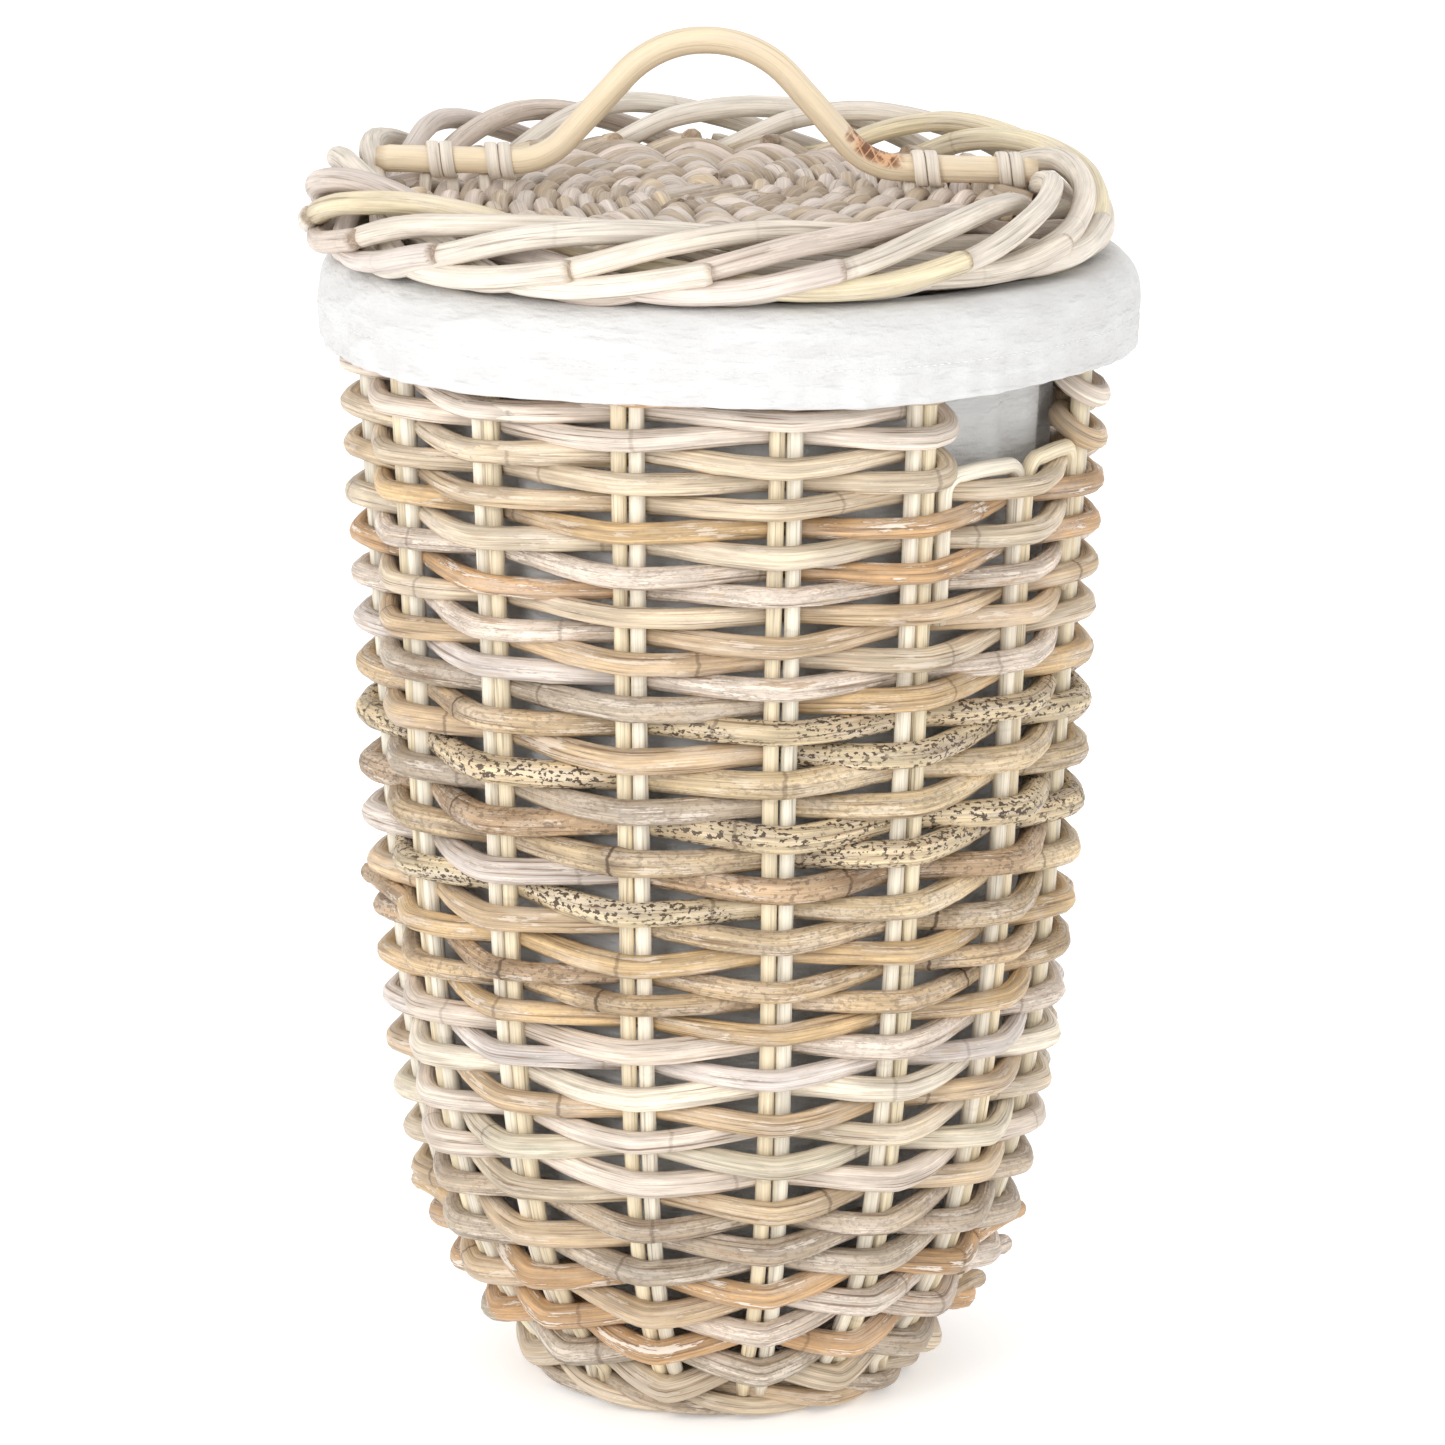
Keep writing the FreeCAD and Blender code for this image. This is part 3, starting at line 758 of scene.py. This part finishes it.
def crossRods(disc):    # two layers of sticks over the middle
    middle = np.array([*disc["centre"], disc["level"]])
    rods = []
    for layer in (-1, 1):
        for k in range(disc["sticks"]):
            side = (k - (disc["sticks"] - 1) / 2) * disc["stickSpacing"]
            reach = np.linspace(-1, 1, 12) * disc["stickReach"] * chance.uniform(0.92, 1.0)
            across = side + 0.0006 * np.sin(reach * 60 + k)
            pair = (reach, across) if layer < 0 else (across, reach)
            level = np.full(12, layer * disc["stickRadius"] * 1.02)
            line = middle + np.stack([*pair, level], axis=-1)
            rods.append(makeRod(line, disc["stickRadius"], chance.choice(disc["finishes"])))
    return rods


def twinedRods(disc):    # pairs of strands that cross between the spokes
    rods = []
    rows = int((disc["lastRow"] - disc["firstRow"]) / disc["pitch"]) + 1
    for row in range(rows):
        base = disc["firstRow"] + row * disc["pitch"]
        waves = disc["spokes"] / 2 if base > disc["firstRow"] + 0.02 else disc["spokes"] / 4
        turn = np.linspace(0, fullTurn, int(waves * 22))
        for strand in (0, 1):
            phase = waves * turn + strand * math.pi + 0.25 * math.sin(row)
            reach = base + disc["slant"] * np.sin(phase) + 0.0006 * np.sin(turn * 3 + row)
            line = discPoint(disc, turn, reach, disc["height"] * np.cos(phase))
            cut = chance.randrange(len(turn))
            line = np.concatenate([line[cut:], line[1:cut]])
            radius = disc["strand"] * chance.uniform(0.93, 1.07)
            rods.append(makeRod(line, radius, chance.choice(disc["finishes"])))
    return rods


def makeDisc(disc, material):
    rods = spokeRods(disc) + crossRods(disc) + twinedRods(disc)
    piece = sweepRods(disc["name"], rods, material, 10, 0.0008)
    settle(piece, disc["body"], disc["slot"], *disc["nodes"])
    print(disc["name"], "done")


# lid handle and its bindings

handle = {
    "centre": lidCentre,
    "turn": 36.3,          # degrees from +X
    "radius": 0.0065,
    "footLevel": 0.6038,
    "dip": 0.0110,         # how far the right end lies lower, per metre
    "rise": 0.0597,
    "footEnd": 0.159,
    "bendStart": 0.093,
    "slope": 48.0,
    "lowBend": 0.034,
    "highBend": 0.052,
    "bindings": [-0.129, -0.101, 0.104, 0.1445],
    "bindingWidth": 0.006,
    "bindingThick": 0.0022,
}

burn = {"from": 0.066, "to": 0.097, "spacing": 0.0055, "ragged": 0.012,
        "deep": (92, 48, 26), "warm": (212, 154, 106)}


def burntMarks(craft, colour):    # scorched cross marks on the upper side of the handle's right bend
    spot = craft.split(craft.node("ShaderNodeTexCoord", out="Object"))
    faces = craft.split(craft.node("ShaderNodeTexCoord", out="Normal"))
    turn = math.radians(handle["turn"])
    offset = handle["centre"][0] * math.cos(turn) + handle["centre"][1] * math.sin(turn)
    along = spot[0] * math.cos(turn) + spot[1] * math.sin(turn) - offset
    upper = craft.ease(faces[2] * 0.75 + faces[0] * (math.cos(turn) * 0.6), 0.15, 0.6)
    ragged = craft.noise(craft.node("ShaderNodeTexCoord", out="Object"), (160.0, 160.0, 160.0), 3.0)
    edge = along + (ragged - 0.5) * burn["ragged"]
    zone = craft.ease(edge, burn["from"], burn["from"] + 0.006)
    zone = zone * craft.ease(edge, burn["to"] - 0.008, burn["to"], 1.0, 0.0) * upper
    slant = (along + spot[2] * 0.5) * (1 / burn["spacing"])
    other = (along - spot[2] * 0.9) * (1 / burn["spacing"])
    gaps = craft.ease(slant.maths("FRACT", slant), 0.0, 0.25)
    gaps = gaps * craft.ease(other.maths("FRACT", other), 0.0, 0.2)
    colour = craft.mix(zone * 0.75, colour, (*shown(*burn["warm"]), 1))
    return craft.mix(zone * gaps * craft.ease(ragged, 0.36, 0.5) * 0.85, colour, (*shown(*burn["deep"]), 1))


def handleLine():    # along X and up, one half, then mirrored
    slope = math.radians(handle["slope"])
    low, high = handle["lowBend"], handle["highBend"]
    straightRise = handle["rise"] - (low + high) * (1 - math.cos(slope))
    straightRun = straightRise / math.tan(slope)
    points = [(x, 0) for x in np.linspace(handle["footEnd"], handle["bendStart"], 12)]
    for bend in np.linspace(0, slope, 9)[1:]:
        points.append((handle["bendStart"] - low * math.sin(bend), low * (1 - math.cos(bend))))
    x, z = points[-1]
    points += [(x - straightRun * t, z + straightRise * t) for t in np.linspace(0, 1, 7)[1:]]
    x, z = points[-1]
    crown = x - high * math.sin(slope)
    for bend in np.linspace(slope, 0, 11)[1:]:
        points.append((crown + high * math.sin(bend), handle["rise"] - high * (1 - math.cos(bend))))
    return points + [(-px, pz) for px, pz in points[::-1]]


def onHandle(along, across, up):    # from the handle's own directions to the basket's
    turn = math.radians(handle["turn"])
    along, across, up = np.broadcast_arrays(along, across, up)
    return np.stack([handle["centre"][0] + along * math.cos(turn) - across * math.sin(turn),
                     handle["centre"][1] + along * math.sin(turn) + across * math.cos(turn),
                     handle["footLevel"] + up - along * handle["dip"]], axis=-1)


def makeHandle(material):
    line = np.array(handleLine())
    across = 0.0012 * np.sin(line[:, 0] * 21)
    rod = makeRod(onHandle(line[:, 0], across, line[:, 1]), handle["radius"], "honey", vary=0.0)
    piece = sweepRods("lidHandle", [rod], material, 20, 0.0005)
    settle(piece, "lid", "handle_cane", "lid_handle")
    print("handle done")


def bindingRibbon(place, lean):    # flat cane: up from the disc, two turns round the handle, and down again
    loop = handle["radius"] + handle["bindingThick"] / 2 + 0.0003
    angle = np.linspace(-0.5 * math.pi, 3.5 * math.pi, 64)
    shift = np.linspace(-1, 1, 64) * (handle["bindingWidth"] + 0.0003)
    along = place + shift
    across = loop * np.cos(angle)
    up = loop * np.sin(angle)
    tail = np.linspace(0.02, 0, 6)[:-1]
    along = np.concatenate([along[0] - lean * tail, along, along[-1] + lean * tail[::-1]])
    across = np.concatenate([0 * tail, across, 0 * tail])
    up = np.concatenate([up[0] - tail, up, up[-1] - tail[::-1]])
    centre = np.stack([along, across, up], axis=-1)
    wide = np.array([1.0, 0.0, 0.0])
    thick = np.cross(np.gradient(centre, axis=0), wide)
    thick /= np.linalg.norm(thick, axis=1)[:, None]
    rows = []
    for angle in np.linspace(0, fullTurn, 12, endpoint=False):
        side, out = math.cos(angle), math.sin(angle)
        rounded = math.copysign(abs(side) ** 0.6, side) * handle["bindingWidth"] / 2
        bulge = math.copysign(abs(out) ** 0.8, out) * handle["bindingThick"] / 2
        rows.append(centre + wide * rounded + thick * bulge)
    return np.stack(rows, axis=1), np.linalg.norm(np.diff(centre, axis=0), axis=1).cumsum()


def closedRows(rows, count):    # the faces between rings of points
    faces = []
    for i in range(rows - 1):
        low, high = i * count, (i + 1) * count
        faces += [(low + s, low + (s + 1) % count, high + (s + 1) % count, high + s) for s in range(count)]
    return faces


def coat(piece, material):
    piece.data.materials.append(material)
    for face in piece.data.polygons:
        face.use_smooth = True


def makeBindings(material):
    points, faces, places = [], [], []
    for k, place in enumerate(handle["bindings"]):
        grid, travel = bindingRibbon(place, chance.uniform(-0.2, 0.2))
        travel = np.concatenate([[0], travel]) + k
        start = len(points)
        rows, sides = grid.shape[:2]
        world = onHandle(grid[..., 0], grid[..., 1], grid[..., 2])
        points += list(world.reshape(-1, 3))
        for i in range(rows):
            for s in range(sides):
                angle = s * fullTurn / sides
                places.append((travel[i], 0.003 * math.cos(angle), 0.0015 * math.sin(angle)))
        faces += [tuple(start + corner for corner in face) for face in closedRows(rows, sides)]
        faces.append(tuple(start + s for s in range(sides)))
        faces.append(tuple(start + (rows - 1) * sides + s for s in reversed(range(sides))))
    piece = newObject("handleBindings", points, faces)
    storeValues(piece, "rodPlace", places)
    storeValues(piece, "rodTint", [shown(*finishes["bone"][0])] * len(points))
    storeValues(piece, "rodTraits", [(0.0, 0.15, 0.0)] * len(points))
    coat(piece, material)
    faceOutwards(piece)
    nodes = ["handle_binding_%d" % (k + 1) for k in range(len(handle["bindings"]))]
    settle(piece, "lid", "binding_cane", *nodes)
    print("bindings done")


def faceOutwards(piece):
    form = bmesh.new()
    form.from_mesh(piece.data)
    bmesh.ops.recalc_face_normals(form, faces=form.faces)
    form.to_mesh(piece.data)
    form.free()


# liner: one cloth, up inside the weave, over the rim and down to a gathered hem

liner = {
    "around": 480,
    "bagRows": 44,
    "cuffRows": 51,
    "thickness": 0.0009,
    "low": 0.0222,
    "mouth": 0.540,
    "over": [(0.1601, 0.551), (0.1603, 0.5585), (0.1640, 0.5630), (0.1750, 0.5639), (0.1860, 0.5634),
             (0.1925, 0.5600), (0.1962, 0.5535), (0.1978, 0.5450), (0.1980, 0.5365), (0.1976, 0.5290),
             (0.1974, 0.5222)],    # radius and level, over the rim and down outside
    "turnedIn": [(0.1964, 0.5214), (0.1956, 0.5225), (0.1953, 0.5290), (0.1953, 0.5340)],
    "stitchLevels": (0.5258, 0.5372),
    "stitch": {"spacing": 0.0042, "length": 0.0032, "thick": 0.0005},
    "flatWide": fullTurn * 0.162,
    "flatLong": 0.66,
    "baseSide": 0.172,
    "baseArea": 0.0232,
}


def ripple(turn, travel, waves, along, seed, count=7):    # a soft random wave that closes round the basket
    dice = random.Random(seed)
    total = np.zeros(np.broadcast(turn, travel).shape)
    for _ in range(count):
        number = dice.randint(int(waves * 0.7), int(waves * 1.35))
        slope = dice.uniform(-1, 1) * along
        total += np.sin(number * turn + slope * travel + dice.uniform(0, 6.28)) / count ** 0.5
    return total


def linerProfile():    # radius and level down the cloth, and how far each point belongs to the cuff
    rows = liner["bagRows"]
    inside = onWall(np.zeros(rows), np.linspace(liner["low"], liner["mouth"], rows), wall["insideOffset"])
    bag = inside[:, [0, 2]]
    coarse = np.concatenate([bag[-1:], liner["over"], liner["turnedIn"]])
    kinds = np.concatenate([[0], np.linspace(0.05, 1, len(liner["over"])), np.ones(len(liner["turnedIn"]))])
    places = np.arange(len(coarse))
    fine = np.linspace(0, places[-1], liner["cuffRows"] + 1)[1:]
    cuff = np.stack([spline(places, coarse[:, axis], fine) for axis in (0, 1)], axis=-1)
    return np.concatenate([bag, cuff]), np.concatenate([np.zeros(rows), np.interp(fine, places, kinds)])


def linerSurface(turn, profile, kinds):    # every point of the cloth, wrinkled
    reach, level = profile[:, 0][:, None], profile[:, 1][:, None]
    cuff = kinds[:, None]
    around = turn[None, :]
    bagFolds = -(1 - cuff) ** 8 * (0.5 + 0.5 * ripple(around, level, 22, 4, 3)) * 0.0026
    bagFolds = np.minimum(bagFolds, 0.0)
    soft = ripple(around, level, 6, 70, 5) * 0.0013 + ripple(around, level, 20, 260, 6) * 0.0006
    soft = soft + np.maximum(ripple(around, level, 13, 420, 14), 0) ** 2 * 0.0004
    gathers = ripple(around, level, 90, 40, 7) * 0.00045
    nearHem = np.clip((0.549 - level) / 0.02, 0, 1) * (cuff > 0.3)
    seams = sum(np.exp(-((level - s) / 0.0012) ** 2) for s in liner["stitchLevels"]) * (cuff > 0.6)
    out = bagFolds + np.clip(cuff * 2 - 0.6, 0, 1) * soft + nearHem * gathers - seams * 0.0006
    waviness = ripple(around, 0 * level, 5, 0, 9) * 0.0009 + ripple(around, 0 * level, 30, 0, 10) * 0.00018
    lift = nearHem ** 2 * waviness
    crown = np.clip((level - 0.556) / 0.006, 0, 1)
    reach = reach + out * (1 - crown)
    level = level + lift + out * crown * 0.8
    return np.stack([reach * np.cos(around), reach * np.sin(around), level], axis=-1)


def gridObject(name, grid, material):    # a sheet that closes round the basket
    piece = newObject(name, grid.reshape(-1, 3), closedRows(*grid.shape[:2]))
    coat(piece, material)
    return piece


def stitchPattern():
    craft = Pattern("stitchRow", {"spacing": "NodeSocketFloat", "length": "NodeSocketFloat",
                                  "thick": "NodeSocketFloat", "threadFinish": "NodeSocketMaterial"})
    line = craft.node("GeometryNodeMeshToCurve", {}, {"Mesh": craft.given("Geometry")})
    line = craft.node("GeometryNodeResampleCurve", {"mode": "LENGTH"},
                      {"Curve": line, "Length": craft.given("spacing")})
    tangent = craft.node("GeometryNodeInputTangent")
    turned = craft.node("FunctionNodeAlignRotationToVector", {"axis": "X"}, {"Vector": tangent})
    bead = craft.node("GeometryNodeMeshUVSphere", {}, {"Segments": 6, "Rings": 4, "Radius": 0.5})
    thick = craft.given("thick")
    size = craft.node("ShaderNodeCombineXYZ", {}, {0: craft.given("length"), 1: thick, 2: thick})
    row = craft.node("GeometryNodeInstanceOnPoints", {},
                     {"Points": line, "Instance": bead, "Rotation": turned, "Scale": size})
    row = craft.node("GeometryNodeRealizeInstances", {}, {"Geometry": row})
    row = craft.node("GeometryNodeSetShadeSmooth", {}, {"Geometry": row, "Shade Smooth": True})
    return craft.done(row, craft.given("threadFinish"))


def makeLiner(cotton, thread, elastic):
    turn = np.linspace(0, fullTurn, liner["around"], endpoint=False)
    profile, kinds = linerProfile()
    cloth = gridObject("linerCloth", linerSurface(turn, profile, kinds), cotton)
    solid = cloth.modifiers.new("thickness", "SOLIDIFY")
    solid.thickness = liner["thickness"]
    solid.offset = 0
    settle(cloth, "liner", "cotton", "liner_bag", "liner_cuff", "liner_hem_casing")
    radius, level = profile[0]
    base = linerBase(turn[::4], np.linspace(0.004, radius - 0.0004, 26), level, cotton)
    settle(base, "liner", "cotton", "liner_floor")
    seam = makeStitches(turn, profile, kinds, thread)
    band = makeElastic(turn, elastic)
    print("liner done")


def makeStitches(turn, profile, kinds, thread):    # two rows of thread round the hem, just outside the cloth
    outside = range(liner["bagRows"], liner["bagRows"] + 47)
    rings = []
    for level in liner["stitchLevels"]:
        index = min(outside, key=lambda k: abs(profile[k, 1] - level) + (kinds[k] < 0.5))
        ring = linerSurface(turn, profile[index:index + 1], kinds[index:index + 1])[0]
        grow = 1 + (liner["thickness"] / 2 + 0.0001) / profile[index, 0]
        rings.append(ring * [grow, grow, 1])
    count = liner["around"]
    edges = [(r * count + s, r * count + (s + 1) % count) for r in range(len(rings)) for s in range(count)]
    source = newObject("stitchLines", np.concatenate(rings), [], edges)
    seam = grown("hemStitches", source, stitchPattern(), {**liner["stitch"], "threadFinish": thread})
    settle(seam, "liner", "cotton")
    return seam


def makeElastic(turn, material):
    low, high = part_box("liner_elastic")
    inner = [(high.x - 0.0013, z) for z in np.linspace(low.z + 0.0005, high.z - 0.0005, 5)]
    band = gridObject("hemElastic", linerSurface(turn, np.array(inner), np.full(5, 0.9)), material)
    band.modifiers.new("thickness", "SOLIDIFY").thickness = 0.0008
    settle(band, "liner", "elastic", "liner_elastic")
    return band


def linerBase(turn, reach, level, material):
    inward = reach[:, None] < reach[-1] - 0.004
    levels = level + 0.0008 * ripple(turn[None, :], reach[:, None], 6, 90, 12) * inward
    grid = np.stack([np.outer(reach, np.cos(turn)), np.outer(reach, np.sin(turn)), levels], axis=-1)
    faces = [(a, d, c, b) for a, b, c, d in closedRows(*grid.shape[:2])]    # wound the other way
    faces.append(tuple(range(len(turn))))
    piece = newObject("linerBase", grid.reshape(-1, 3), faces)
    coat(piece, material)
    faceOutwards(piece)
    piece.modifiers.new("thickness", "SOLIDIFY").thickness = liner["thickness"]
    return piece


def cottonFinish():
    craft = Finish("cotton")
    place = craft.node("ShaderNodeTexCoord", out="Object")
    threads = craft.noise(place, (900.0, 900.0, 900.0), 2.0)
    slubs = craft.noise(place, (160.0, 160.0, 700.0), 3.0)
    crumple = craft.noise(place, (26.0, 26.0, 90.0), 3.0, 0.55)
    # painted crease shade: the cloth is a little darker where the crumple bump sinks
    paintedCreaseShade = craft.ease(crumple, 0.3, 0.7)
    colour = craft.mix(paintedCreaseShade, (*shown(203, 202, 201), 1), (*shown(212, 212, 211), 1))
    look = {"Base Color": colour, "Roughness": 0.92, "Sheen Weight": 0.15, "Sheen Roughness": 0.5}
    return craft.done(look, [(crumple * 11.0 + slubs + threads * 0.7, 0.7, 0.0007)])


def plainFinish(name, colour, roughness):
    craft = Finish(name)
    place = craft.node("ShaderNodeTexCoord", out="Object")
    grain = craft.noise(place, (700.0, 700.0, 2200.0), 2.0)
    shade = craft.mix(craft.ease(grain, 0.35, 0.65, 0.0, 0.5), (*shown(*colour), 1), (0.6, 0.6, 0.6, 1))
    return craft.done({"Base Color": shade, "Roughness": roughness}, [(grain, 0.3, 0.0003)])


setCamera()
setStudio()
print("camera and studio ready")
weaveMaterial = caneMaterial("weaveCane")
paleMaterial = caneMaterial("peeledCane", wash=0.1, roughness=0.42, contrast=0.6)
lidMaterial = caneMaterial("lidCane", wash=0.4, roughness=0.5, contrast=0.65)
makeWeave(weaveMaterial)
makeStakes(paleMaterial)
makeBorder(footBorder, weaveMaterial)
makeBorder(rimBorder, weaveMaterial)
makeBorder(lidBorder, lidMaterial, 14)
makeDisc(lidDisc, lidMaterial)
makeDisc(floorDisc, weaveMaterial)
makeHandle(caneMaterial("handleCane", wash=0.3, roughness=0.34, contrast=0.22, burnt=True))
makeBindings(caneMaterial("bindingCane", wash=0.3, roughness=0.5, contrast=0.5))
cottonMaterial = cottonFinish()
threadMaterial = plainFinish("cottonThread", (236, 236, 234), 0.8)
elasticMaterial = plainFinish("knittedElastic", (226, 226, 222), 0.8)
makeLiner(cottonMaterial, threadMaterial, elasticMaterial)
